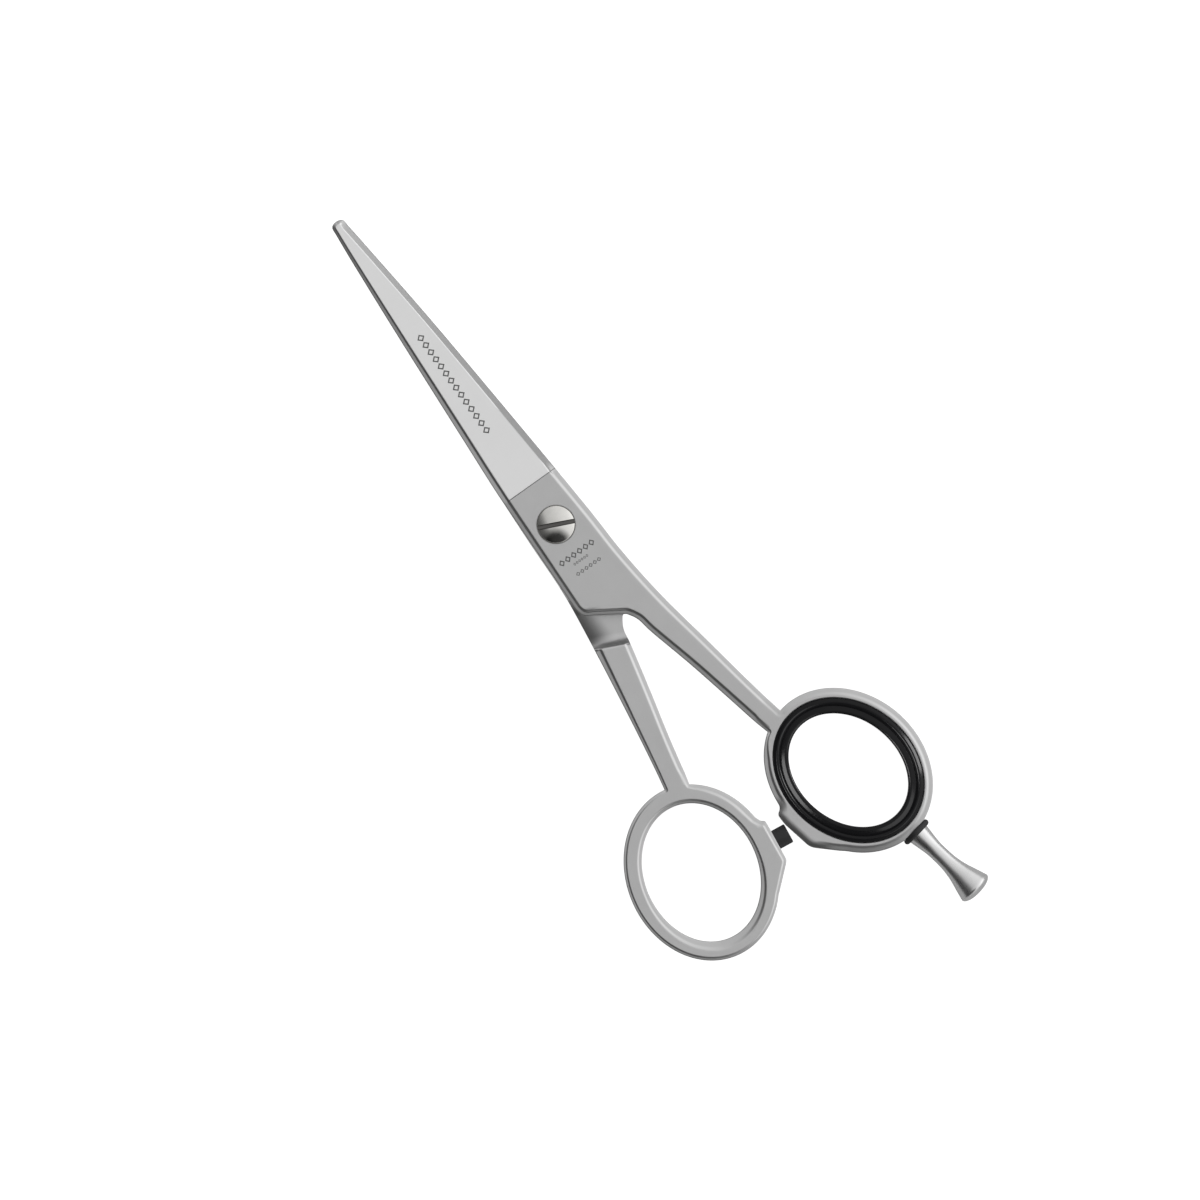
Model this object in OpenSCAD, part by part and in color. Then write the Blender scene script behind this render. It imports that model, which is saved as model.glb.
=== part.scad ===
// Hair cutting shears, closed and lying flat.
// X points to the finger ring, Y to the tips, Z up through the pivot.
// The origin is on the pivot axis, in the back face of the thumb half.

/* [Thickness] */
// Thickness of each half at the pivot
half_t = 2.5; // [2.3:0.05:2.7]
// Gap between the inner faces of the two halves
parting_gap = 0.04; // [0.02:0.01:0.08]
// How much each face of the rings lies below the face of the shank
ring_drop = 0.3; // [0.2:0.05:0.4]

/* [Blades] */
// Distance from the pivot to the blade tips
blade_reach = 62.4; // [62.2:0.1:62.8]
// Where the ground face of the blade starts, ahead of the pivot
grind_start = 7.7; // [6:0.1:9]
// Slope of the ground face along the blade, in degrees
face_taper = 0.95; // [0.8:0.05:1.1]
// Slope of the ground face across the blade, in degrees
face_tilt = 4; // [3:0.5:5]
// Steepness of the cutting bevel, in degrees
bevel_angle = 55; // [50:1:60]

/* [Pivot] */
// Diameter of the screw head
head_d = 6.3; // [6:0.1:6.4]
// Height of the domed top of the screw head
dome_h = 0.75; // [0.6:0.05:0.9]
// Diameter of the smooth shoulder that the finger half turns on
shoulder_d = 4; // [3.8:0.1:4.2]
// Diameter of the thread in the thumb half
thread_d = 3; // [2.8:0.1:3.2]
// Width of the screwdriver slot
slot_w = 0.75; // [0.6:0.05:0.9]
// Direction of the slot, in degrees from X
slot_angle = -24.5; // [-90:0.5:90]

/* [Rings] */
// Half width and half length of the thumb hole
thumb_hole = [9.5, 11.9];
// Half width and half length of the hole in the finger insert
insert_hole = [8.4, 10.9];
// Width of the insert's rim over the ring
insert_rim = 2.7; // [2.5:0.1:2.8]

/* [Finger rest] */
// Length of the finger rest outside its washer
rest_len = 14.05; // [13:0.05:15]
// Largest radius of the finger rest, near its free end
rest_end_r = 3; // [2.8:0.05:3.2]
// Radius of the waist of the finger rest
rest_waist_r = 1.44; // [1.35:0.01:1.6]
// Thickness of the rubber washer under the finger rest
washer_t = 1.05; // [0.9:0.05:1.2]

/* [Bumper] */
// Diameter of the rubber bumper
bumper_d = 3.4; // [3:0.1:3.6]
// How far the bumper stands out of the thumb ring
bumper_h = 2.44; // [2.2:0.02:2.44]

/* [Hidden] */
$fn = 64;
full_t = 2 * half_t;
inner_z = half_t + parting_gap / 2;
fit_gap = 0.03;

// Rings: centre, half axes of the outside, and the lean of the long axis
thumb_c = [-13.95, -61.3];
thumb_outer = [12.55, 15.05];
thumb_lean = -11.8;
finger_c = [15.9, -61.65];
finger_outer = [12.65, 15.1];
finger_lean = 13.7;
insert_lean = 15.5;
// The metal hole that the insert sits in, and the rebate under the rim
finger_hole = [insert_hole[0] + 1.15, insert_hole[1] + 1.15];
rebate = [insert_hole[0] + insert_rim, insert_hole[1] + insert_rim];
rebate_depth = 0.7;

// Lower lines of the bevels on each blade, seen from the blade's own side
near_tip = 61;
finger_cut = [5.47, 0.82];
finger_back = [-5.05, -1.8];
thumb_cut = [5.17, 1.62];
thumb_back = [-4.95, -0.3];
back_drop = 0.8;
back_angle = 36;

// The step where a half-thickness blade becomes the full-thickness shank
step_at = [4.25, -21.9];
step_angle = 24.6;
step_r = 2;

// Pivot stack, upward from the inner face of the finger half
bush_wall = 0.5;
bush_r = shoulder_d / 2 + 0.05 + bush_wall;
flange_r = head_d / 2 + 0.05;
seat_z = full_t - 0.8;
flange_t = 0.4;
head_z = seat_z + flange_t + 0.02;
rim_h = 0.55;

// Finger rest: its seat on the ring and its direction
rest_at = [19.06, -76.1];
rest_angle = 10.8;
stud_r = 1.25;
stud_len = 2.4;
washer_r = 2.7;

// Bumper: the middle of its base on the pad, and its direction
bumper_at = [-0.7, -64.1];
bumper_angle = -6.8;
stem_r = 0.8;
stem_len = 2;

// Outer edge of the finger half, from the tip down to the ring
finger_edge_out = [[0.7, 61], [1.35, 55], [2.85, 40], [4.45, 20], [5.9, 0], [6.4, -10],
    [7.5, -19.8], [9.3, -30], [11.05, -40], [12.3, -46.3], [13.3, -50.5]];
// Inner edge of its shank, from the ring up to the fork
finger_edge_in = [[9.3, -50.6], [8.15, -47], [6.55, -40], [4.7, -32], [2.6, -24], [1.95, -20.8],
    [0.9, -18.95]];
// Heel of the finger half, from the fork round to the back of the blade
finger_heel = [[-3.9, -15.85], [-5.1, -15], [-5.55, -13.6]];
// Back of the finger blade, from the heel to the tip
finger_spine = [[-5.5, -11], [-5.25, 0], [-5, 10], [-4.45, 20], [-3.3, 40], [-2.3, 55], [-1.8, 61]];

// The same edges of the thumb half
thumb_edge_out = [[-1.5, 61], [-2.05, 55], [-3.05, 40], [-4.2, 20], [-4.95, 10], [-5.4, 0], [-5.7, -10],
    [-6.75, -19.3], [-8.25, -30], [-9.8, -40], [-10.9, -46.2], [-11.9, -50.5]];
thumb_edge_in = [[-7.9, -50.6], [-6.85, -47.5], [-5.25, -40], [-3.35, -32], [-1.55, -24], [-0.95, -20.8],
    [0.1, -18.95]];
thumb_heel = [[4.6, -15.9], [5.35, -15], [5.55, -13.6]];
thumb_spine = [[5.5, -11], [5.25, 0], [4.9, 10], [3.9, 20], [2.35, 40], [0.85, 55], [0.3, 61]];

// Pads that face each other beside the rings
finger_pad = [[5.5, -56], [3.5, -57], [3, -60.2], [1.95, -60.9], [2.02, -62.8], [3.15, -68], [3.6, -68.6],
    [7.3, -71.7], [12, -75.45], [8, -68]];
thumb_pad = [[-4, -54], [-2.3, -55], [-1.6, -58], [-0.95, -60.1], [-0.35, -60.4], [-0.33, -61], [-1.15, -67.8],
    [-1.6, -68.3], [-5.3, -71.55], [-9.8, -74.95], [-6, -68]];

// A smooth curve through the points p, with n steps between each two
function curve(p, n = 4) =
    concat([for (i = [0:len(p) - 2], k = [0:n - 1]) curve_at(p, i, k / n)], [p[len(p) - 1]]);
function curve_at(p, i, t) =
    let (a = p[max(i - 1, 0)], b = p[i], c = p[i + 1], d = p[min(i + 2, len(p) - 1)])
    b + t / 2 * (c - a) + t * t / 2 * (2 * a - 5 * b + 4 * c - d) + t * t * t / 2 * (3 * b - a - 3 * c + d);

// The rounded end of a blade between its two edges, given the last point of each
function tip(from, to) =
    let (mid = (from + to) / 2, r = (to - from) / 2)
    [for (a = [20:20:160]) mid - r * cos(a) + [0, blade_reach - mid[1]] * sqrt(sin(a))];

// An oval with half axes r, its long axis leaning by lean degrees
module oval(c, r, lean) {
    translate(c)
        rotate(lean)
            polygon([for (a = [0:6:354]) [r[0] * cos(a), r[1] * sin(a)]]);
}

// A flat plate as thick as both halves, cut to the shape of its child
module plate() {
    linear_extrude(height = full_t)
        children();
}

// Outline of the finger half, as a plate
module finger_plate() {
    difference() {
        union() {
            plate()
                polygon(concat(curve(finger_edge_out), curve(finger_edge_in), curve(finger_heel),
                    curve(finger_spine), tip(finger_spine[6], finger_edge_out[0])));
            plate()
                oval(finger_c, finger_outer, finger_lean);
            plate()
                polygon(finger_pad);
        }
        translate([0, 0, -1])
            linear_extrude(height = full_t + 2)
                oval(finger_c, finger_hole, insert_lean);
    }
}

// Outline of the thumb half, as a plate
module thumb_plate() {
    difference() {
        union() {
            plate()
                polygon(concat(curve(thumb_edge_out), curve(thumb_edge_in), curve(thumb_heel),
                    curve(thumb_spine), tip(thumb_spine[6], thumb_edge_out[0])));
            plate()
                oval(thumb_c, thumb_outer, thumb_lean);
            plate()
                polygon(thumb_pad);
        }
        translate([0, 0, -1])
            linear_extrude(height = full_t + 2)
                oval(thumb_c, thumb_hole, thumb_lean);
    }
}

// Turns something from the finger half's side to the thumb half's side
module other_side() {
    translate([0, 0, full_t])
        rotate([0, 180, 0])
            children();
}

// Both halves from the side: full at the shank, a little thinner at the rings
module side_slab() {
    rotate([90, 0, 90])
        linear_extrude(height = 80, center = true)
            polygon([[-80, ring_drop], [-50, ring_drop], [-32, 0], [70, 0], [70, full_t], [-32, full_t],
                [-50, full_t - ring_drop], [-80, full_t - ring_drop]]);
}

// Room for the other half behind the finger half, ahead of the step, with a cove at its foot
module step_cut() {
    translate(step_at)
        rotate([0, 0, step_angle]) {
            translate([-60, step_r, -1])
                cube([120, 120, 1 + inner_z]);
            translate([-60, 0, -1])
                cube([120, 120, 1 + inner_z - step_r]);
            translate([-60, step_r, inner_z - step_r])
                rotate([0, 90, 0])
                    cylinder(r = step_r, h = 120);
        }
}

// The ground face, the cutting bevel and the back bevel of a blade, seen from its own side.
// cut and back hold the X of each bevel's lower line, where the grind starts and near the tip.
module grind_cut(cut, back) {
    run = near_tip - grind_start;
    translate([back[0], grind_start, full_t + 0.02])
        rotate([-face_taper, face_tilt, 0])
            translate([-4, 0, 0])
                cube([20, 80, 5]);
    translate([cut[0], grind_start, inner_z + 0.15])
        rotate([0, 0, atan((cut[0] - cut[1]) / run)])
            rotate([0, bevel_angle - 90, 0])
                translate([0, 0, -1])
                    cube([5, 80, 8]);
    translate([back[0], grind_start, full_t - back_drop])
        rotate([-face_taper / 2, 0, atan((back[0] - back[1]) / run)])
            rotate([0, -back_angle, 0])
                translate([-4, 0, 0])
                    cube([8, 80, 5]);
}

// Finger half: blade, heel, shank and finger ring in one forging
module front_half() {
    color("silver")
        difference() {
            intersection() {
                finger_plate();
                side_slab();
            }
            step_cut();
            grind_cut(finger_cut, finger_back);
            // bore and seat for the bush
            cylinder(r = bush_r, h = full_t + 1);
            translate([0, 0, seat_z])
                cylinder(r = flange_r + fit_gap, h = 2);
            // rebates for the rims of the insert
            translate([0, 0, -1])
                linear_extrude(height = 1 + ring_drop + rebate_depth)
                    oval(finger_c, rebate, insert_lean);
            translate([0, 0, full_t - ring_drop - rebate_depth])
                linear_extrude(height = 2)
                    oval(finger_c, rebate, insert_lean);
            // flat seat and tapped hole for the finger rest
            on_rest_axis() {
                cylinder(r = washer_r + 0.2, h = 4);
                translate([0, 0, -stud_len - 0.2])
                    cylinder(r = stud_r + fit_gap, h = stud_len + 1);
            }
        }
}

// Thumb half: blade, heel, shank and thumb ring in one forging
module rear_half() {
    color("lightgray")
        difference() {
            intersection() {
                thumb_plate();
                side_slab();
            }
            other_side() {
                step_cut();
                grind_cut(thumb_cut, thumb_back);
            }
            // tapped hole for the pivot screw
            translate([0, 0, -1])
                cylinder(r = thread_d / 2 + fit_gap, h = full_t);
            // hole for the stem of the bumper
            on_bumper_axis()
                translate([0, 0, -stem_len])
                    cylinder(r = stem_r, h = stem_len + 2);
        }
}

// Domed slotted screw that holds the two halves together
module pivot_screw() {
    dome_r = (head_d * head_d / 4 + dome_h * dome_h) / (2 * dome_h);
    rim_z = head_z + rim_h;
    color("gainsboro")
        difference() {
            union() {
                translate([0, 0, 0.1])
                    cylinder(d = thread_d, h = 3);
                translate([0, 0, half_t])
                    cylinder(d = shoulder_d, h = head_z - half_t + 0.1);
                translate([0, 0, head_z])
                    cylinder(d = head_d, h = rim_h);
                intersection() {
                    translate([0, 0, rim_z + dome_h - dome_r])
                        sphere(r = dome_r);
                    translate([0, 0, rim_z])
                        cylinder(d = head_d, h = 2);
                }
            }
            translate([0, 0, rim_z + dome_h])
                rotate([0, 0, slot_angle])
                    cube([10, slot_w, 2 * 0.95], center = true);
        }
}

// Flanged plastic bush between the screw and the finger half
module pivot_bush() {
    color("ivory")
        difference() {
            union() {
                translate([0, 0, inner_z])
                    cylinder(r = bush_r, h = seat_z - inner_z + 0.1);
                translate([0, 0, seat_z])
                    cylinder(r = flange_r, h = flange_t);
            }
            cylinder(d = shoulder_d + 0.1, h = full_t + 1);
        }
}

// Soft ring that narrows the finger hole, with a rim over each face
module finger_insert() {
    color("dimgray")
        difference() {
            union() {
                linear_extrude(height = full_t)
                    oval(finger_c, finger_hole - [fit_gap, fit_gap], insert_lean);
                linear_extrude(height = ring_drop + rebate_depth - fit_gap)
                    oval(finger_c, rebate - [fit_gap, fit_gap], insert_lean);
                translate([0, 0, full_t - ring_drop - rebate_depth + fit_gap])
                    linear_extrude(height = ring_drop + rebate_depth - fit_gap)
                        oval(finger_c, rebate - [fit_gap, fit_gap], insert_lean);
            }
            translate([0, 0, -1])
                linear_extrude(height = full_t + 2)
                    oval(finger_c, insert_hole, insert_lean);
        }
}

// Puts something on the bumper's axis, with Z pointing away from the thumb ring
module on_bumper_axis() {
    translate([bumper_at[0], bumper_at[1], half_t])
        rotate([0, 0, bumper_angle])
            rotate([0, 90, 0])
                children();
}

// Rubber bumper that quiets the rings as they close, with a stem in the thumb ring
module bumper() {
    color("black")
        on_bumper_axis() {
            cylinder(d = bumper_d, h = bumper_h);
            translate([0, 0, -stem_len])
                cylinder(r = stem_r, h = stem_len + 0.5);
        }
}

// Puts something on the finger rest's axis, with Z pointing away from the finger ring
module on_rest_axis() {
    translate([rest_at[0], rest_at[1], half_t])
        rotate([0, 0, rest_angle])
            rotate([90, 0, 0])
                children();
}

// Turned post that the little finger lies on, with a threaded stud in the ring
module finger_rest() {
    flare_z = washer_t + 0.918 * rest_len;
    side = curve([[1.95, washer_t], [1.5, washer_t + 3.1], [rest_waist_r, washer_t + 5],
        [1.52, washer_t + 7], [1.86, washer_t + 9], [2.45, washer_t + 11],
        [rest_end_r - 0.05, flare_z - 0.25]]);
    dome = [for (a = [0:15:90]) [rest_end_r * cos(a), flare_z + (washer_t + rest_len - flare_z) * sin(a)]];
    color("lightsteelblue")
        on_rest_axis() {
            rotate_extrude()
                polygon(concat([[0, washer_t]], side, dome));
            translate([0, 0, -stud_len])
                cylinder(r = stud_r, h = stud_len + washer_t + 0.5);
        }
}

// Soft washer between the finger rest and the ring
module rest_washer() {
    round_r = washer_t / 2;
    color("black")
        on_rest_axis()
            difference() {
                union() {
                    cylinder(r = washer_r - round_r, h = washer_t);
                    translate([0, 0, round_r])
                        rotate_extrude()
                            translate([washer_r - round_r, 0])
                                circle(r = round_r);
                }
                translate([0, 0, -1])
                    cylinder(r = stud_r + fit_gap, h = 4);
            }
}

front_half();
rear_half();
pivot_screw();
pivot_bush();
finger_insert();
bumper();
finger_rest();
rest_washer();
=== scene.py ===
import math

import bmesh
import bpy
import numpy as np
from bpy.props import FloatProperty, FloatVectorProperty, PointerProperty
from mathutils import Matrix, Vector


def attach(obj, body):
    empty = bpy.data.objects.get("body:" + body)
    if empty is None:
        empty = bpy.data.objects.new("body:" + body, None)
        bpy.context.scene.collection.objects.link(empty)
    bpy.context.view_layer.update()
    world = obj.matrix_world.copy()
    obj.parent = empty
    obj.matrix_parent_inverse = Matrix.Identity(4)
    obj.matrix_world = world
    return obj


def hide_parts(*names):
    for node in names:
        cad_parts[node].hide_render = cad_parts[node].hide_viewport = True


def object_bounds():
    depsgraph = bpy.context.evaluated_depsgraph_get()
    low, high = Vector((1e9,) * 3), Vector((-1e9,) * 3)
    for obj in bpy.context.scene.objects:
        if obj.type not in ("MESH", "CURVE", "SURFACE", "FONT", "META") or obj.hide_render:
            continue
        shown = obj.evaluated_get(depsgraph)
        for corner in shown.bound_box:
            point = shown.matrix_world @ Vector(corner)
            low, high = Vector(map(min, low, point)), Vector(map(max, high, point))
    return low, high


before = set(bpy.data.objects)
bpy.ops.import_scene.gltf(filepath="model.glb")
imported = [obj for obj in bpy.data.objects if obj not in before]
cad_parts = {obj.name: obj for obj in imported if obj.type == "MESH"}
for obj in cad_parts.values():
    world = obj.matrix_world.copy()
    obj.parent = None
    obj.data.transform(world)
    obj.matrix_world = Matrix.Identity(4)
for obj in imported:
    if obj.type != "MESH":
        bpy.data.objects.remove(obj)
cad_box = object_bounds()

bl_info = {
    "name": "Hair cutting shears",
    "version": (1, 0, 0),
    "blender": (4, 5, 0),
    "location": "View3D > Sidebar > Shears",
    "description": "Hair cutting shears with screw, ring insert, bumper and finger rest",
    "category": "Object",
}

# All lengths below are in millimetres. finish_mesh turns them into metres.
# Each half is worked out in its own frame: X towards its ring, Y to the tip, Z up out of
# its own flat face. The finger half's frame is the frame of the whole object. The thumb
# half lies on its face, so its X and Z are turned round.
MM = 0.001
FULL_T = 5.0
INNER_Z = 2.52
RING_DROP = 0.3
# The faces fall by the ring drop from this Y, over this length
FALL_Y, FALL_LENGTH = -32, 18
REACH = 62.4
GRIND_Y = 7.7
STEP_AT = np.array([4.25, -21.9])
STEP_ANGLE = math.radians(24.6)
STEP_R = 2.0
REST_AT = np.array([19.06, -76.1, 2.5])
REST_DIR = np.array([0.18738, -0.98229, 0.0])
BUMPER_AT = np.array([-0.7, -64.1, 2.5])
BUMPER_ANGLE = math.radians(-6.8)
SLOT_ANGLE = math.radians(-24.5)
# Edges sharper than this many degrees are drawn sharp on the two halves
HALF_SHARP = 50
# The finger hole's middle and lean in degrees, which its seat and the insert share
HOLE_AT, HOLE_LEAN = (15.9, -61.65), 15.5
INSERT_SEGMENTS = 288

FINGER = {
    "turned": False,
    "right_end": [(-43.5, 1.1, 0.34, 1), (-46.8, 1.1, 0.06, 1)],
    "right": [[[0.7, 61], [1.35, 55], [2.85, 40], [4.45, 20], [5.9, 0], [6.4, -10], [7.5, -19.8],
               [9.3, -30], [11.05, -40], [12.3, -46.3], [13.3, -50.5]]],
    "left": [[[-1.8, 61], [-2.3, 55], [-3.3, 40], [-4.45, 20], [-5, 10], [-5.25, 0], [-5.5, -11]],
             [[-5.55, -13.6], [-5.1, -15], [-3.9, -15.85]],
             [[0.9, -18.95], [1.95, -20.8], [2.6, -24], [4.7, -32], [6.55, -40], [8.15, -47], [9.3, -50.6]]],
    "ring": ((15.9, -61.65), (12.65, 15.1), 13.7),
    "hole": (HOLE_AT, (11.1, 13.6), HOLE_LEAN),
    "pad": [[12, -75.4], [7.1, -71.9], [3.6, -68.75], [3.15, -68], [2.02, -62.8], [1.95, -60.9],
            [3, -60.2], [3.5, -57], [5.5, -56]],
    "middle": ([60, 20, -10, -22, -30, -40, -48], [0, 0, 0.6, 4.3, 7, 8.8, 10.5]),
}
THUMB = {
    "turned": True,
    "right_end": [(-25, 1.0, 0.36, 1), (-35, 0.7, 0.3, 1), (-46.3, 0.55, 0.24, 1)],
    "right": [[[1.5, 61], [2.05, 55], [3.05, 40], [4.2, 20], [4.95, 10], [5.4, 0], [5.7, -10],
               [6.75, -19.3], [8.25, -30], [9.8, -40], [10.9, -46.2], [11.9, -50.5]]],
    "left": [[[-0.3, 61], [-0.85, 55], [-2.35, 40], [-3.9, 20], [-4.9, 10], [-5.25, 0], [-5.5, -11]],
             [[-5.55, -13.6], [-5.35, -15], [-4.6, -15.9]],
             [[-0.1, -18.95], [0.95, -20.8], [1.55, -24], [3.35, -32], [5.25, -40], [6.85, -47.5],
              [7.9, -50.6]]],
    "ring": ((13.95, -61.3), (12.55, 15.05), 11.8),
    "hole": ((13.95, -61.3), (9.5, 11.9), 11.8),
    "pad": [[9.8, -74.95], [5.3, -71.55], [1.6, -68.3], [1.15, -67.8], [0.33, -61], [0.35, -60.4],
            [0.95, -60.1], [1.6, -58], [2.3, -55], [4, -54]],
    "middle": ([60, 20, -10, -22, -30, -40, -48], [0.6, 0, 0.4, 3.9, 5.6, 7.5, 9.3]),
}

# Bevel tables: (Y, width, drop, hollow). Hollow 0 is a flat bevel, 1 a hollow ground one.
RIGHT_BEVEL = [(62.4, 0.6, 0.5, 0), (61.2, 1.0, -1, 0), (7.9, 1.08, -1, 0), (6.9, 1.25, 0.4, 1),
               (-20, 1.2, 0.36, 1)]
LEFT_BEVEL = [(62.4, 0.6, 0.4, 0), (61, 0.6, 0.3, 0.3), (50, 0.75, 0.36, 0.6), (30, 0.98, 0.42, 0.8),
              (10, 1.1, 0.42, 1), (-13, 0.95, 0.4, 1), (-20, 1.0, 0.38, 1), (-45.5, 1.05, 0.36, 1),
              (-48.4, 0.6, 0.22, 1)]
# The same along the ring, by the angle round it in degrees from its right side
FINGER_RING_BEVEL = [(-245, 0.5, 0.15, 1), (-232, 1.0, 0.32, 1), (-205, 1.1, 0.36, 1), (-195, 1.3, 0.5, -1),
                     (-165, 1.3, 0.45, -1), (-155, 1.15, 0.28, 0.3), (-105, 1.15, 0.28, 0.3),
                     (-75, 1.1, 0.32, 1), (30, 1.15, 0.36, 1),
                     (62, 1.05, 0.24, 1), (85, 0.9, 0.06, 1), (120, 1.1, 0.05, 1)]
THUMB_RING_BEVEL = [(-260, 0.6, 0.2, 1), (-235, 1.0, 0.32, 1), (-205, 1.2, 0.36, 1), (-190, 0.8, 0.28, 1),
                    (-140, 0.6, 0.2, 1), (60, 0.6, 0.2, 1), (120, 0.5, 0.16, 1)]
# Round each hole by its angle; the thumb hole's bevel is widest at its far end
HOLE_BEVEL = {False: [(-180, 0.1, 0.05, 0), (180, 0.1, 0.05, 0)],
              True: [(-180, 0.7, 0.3, 1), (-80, 1.5, 0.45, 1), (0, 0.8, 0.2, 1), (90, 0.7, 0.26, 1),
                     (180, 0.7, 0.3, 1)]}
# Where the rows of points lie across a bevel, in bevel widths from the edge
BEVEL_STEPS = np.array([0, 0.03, 0.08, 0.2, 0.4, 0.55, 0.60, 0.68, 0.80, 0.93, 1.0, 1.08, 1.2])


class BladeSettings(bpy.types.PropertyGroup):
    """Sizes of the ground edges of both halves"""

    edge_scale: FloatProperty(
        name="Bevel width",
        description="Width of every ground bevel, as a share of the usual one",
        default=1.0, min=0.6, max=1.3)
    drop_scale: FloatProperty(
        name="Bevel depth",
        description="Depth of the hollow ground bevels, as a share of the usual one",
        default=1.0, min=0.4, max=1.3)
    tilt: FloatProperty(
        name="Blade tilt",
        description="Slope of the ground blade face across the blade, in degrees",
        default=4.0, min=3.0, max=5.0)
    taper: FloatProperty(
        name="Blade taper",
        description="Slope of the ground blade face along the blade, in degrees",
        default=0.95, min=0.8, max=1.1)


class FinishSettings(bpy.types.PropertyGroup):
    """Colours and roughness of the finishes"""

    satin: FloatVectorProperty(
        name="Satin steel",
        description="Colour of the satin shanks and rings",
        subtype="COLOR", size=3, default=(0.66, 0.66, 0.66), min=0, max=1)
    ground: FloatVectorProperty(
        name="Ground steel",
        description="Colour of the ground blade faces",
        subtype="COLOR", size=3, default=(0.91, 0.91, 0.91), min=0, max=1)
    nickel: FloatVectorProperty(
        name="Nickel",
        description="Colour of the screw",
        subtype="COLOR", size=3, default=(0.80, 0.79, 0.76), min=0, max=1)
    rubber: FloatVectorProperty(
        name="Rubber",
        description="Colour of the finger insert",
        subtype="COLOR", size=3, default=(0.004, 0.004, 0.0044), min=0, max=1)
    nylon: FloatVectorProperty(
        name="Nylon",
        description="Colour of the pivot bush",
        subtype="COLOR", size=3, default=(0.85, 0.83, 0.76), min=0, max=1)
    satin_roughness: FloatProperty(
        name="Satin roughness",
        description="Roughness of the satin steel",
        subtype="FACTOR", default=0.36, min=0, max=1)


class StageSettings(bpy.types.PropertyGroup):
    """Floor, light and camera"""

    floor: FloatVectorProperty(
        name="Floor",
        description="Colour of the floor",
        subtype="COLOR", size=3, default=(0.97, 0.97, 0.97), min=0, max=1)
    glow: FloatProperty(
        name="Floor glow",
        description="How strongly the pale floor is lit from within",
        default=1.0, min=0, max=2)
    light: FloatProperty(
        name="Room light",
        description="Brightness of the soft light all round",
        default=1.0, min=0, max=3)
    view_width: FloatProperty(
        name="View width",
        description="Width of the floor that the camera takes in",
        subtype="DISTANCE", unit="LENGTH", default=0.2, min=0.1, max=0.5)


# ---------------------------------------------------------------- curves in the plane


def smooth_curve(points, steps=8):
    """Catmull-Rom curve: between points b and c, with neighbours a and d and t from 0 to 1,
    b + t/2 (c - a) + t^2/2 (2a - 5b + 4c - d) + t^3/2 (3b - a - 3c + d)."""
    p = np.asarray(points, float)
    a, b = np.vstack([p[:1], p[:-2]])[:, None], p[:-1, None]
    c, d = p[1:, None], np.vstack([p[2:], p[-1:]])[:, None]
    t = (np.arange(steps) / steps)[None, :, None]
    curve = (b + t / 2 * (c - a) + t ** 2 / 2 * (2 * a - 5 * b + 4 * c - d)
             + t ** 3 / 2 * (3 * b - a - 3 * c + d))
    return np.vstack([curve.reshape(-1, 2), p[-1:]])


def rounded(points, radius, steps=5):
    """Polyline with each corner replaced by the parabola (1-t)^2 a + 2t(1-t) corner + t^2 b,
    whose ends a and b lie up to one radius from the corner."""
    p = np.asarray(points, float)
    before, after = p[:-2] - p[1:-1], p[2:] - p[1:-1]
    reach_a = np.minimum(radius, 0.45 * np.linalg.norm(before, axis=1))[:, None]
    reach_b = np.minimum(radius, 0.45 * np.linalg.norm(after, axis=1))[:, None]
    a = p[1:-1] + before / np.linalg.norm(before, axis=1)[:, None] * reach_a
    b = p[1:-1] + after / np.linalg.norm(after, axis=1)[:, None] * reach_b
    t = np.linspace(0, 1, steps)[None, :, None]
    arcs = (1 - t) ** 2 * a[:, None] + 2 * t * (1 - t) * p[1:-1, None] + t ** 2 * b[:, None]
    return np.vstack([p[:1], arcs.reshape(-1, 2), p[-1:]])


def divided(path, step):
    """The path with its long segments cut into equal pieces no longer than one step."""
    side = np.diff(path, axis=0)
    count = np.maximum(np.ceil(np.linalg.norm(side, axis=1) / step).astype(int), 1)
    i = np.repeat(np.arange(len(side)), count)
    share = (np.arange(len(i)) - np.repeat(np.cumsum(count) - count, count)) / count[i]
    return np.vstack([path[i] + side[i] * share[:, None], path[-1:]])


def oval(shape, angles):
    """Points c + turn(lean) (rx cos a, ry sin a) of an oval."""
    (cx, cy), (rx, ry), lean = shape
    lean = math.radians(lean)
    x, y = rx * np.cos(angles), ry * np.sin(angles)
    return np.stack([cx + x * math.cos(lean) - y * math.sin(lean),
                     cy + x * math.sin(lean) + y * math.cos(lean)], -1)


def oval_angle(shape, points):
    """The angle a and the size (1 on the oval) of each point, by undoing the oval's formula."""
    (cx, cy), (rx, ry), lean = shape
    lean = math.radians(lean)
    q = np.asarray(points, float) - (cx, cy)
    x = (q[..., 0] * math.cos(lean) + q[..., 1] * math.sin(lean)) / rx
    y = (-q[..., 0] * math.sin(lean) + q[..., 1] * math.cos(lean)) / ry
    return np.arctan2(y, x), np.hypot(x, y)


def where_entered(shape, path):
    """First point of a path on the oval, where its size falls through 1, by straight interpolation."""
    size = oval_angle(shape, path)[1]
    i = int(np.argmax(size < 1))
    f = (size[i - 1] - 1) / (size[i - 1] - size[i])
    return path[i - 1] + f * (path[i] - path[i - 1]), i


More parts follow.
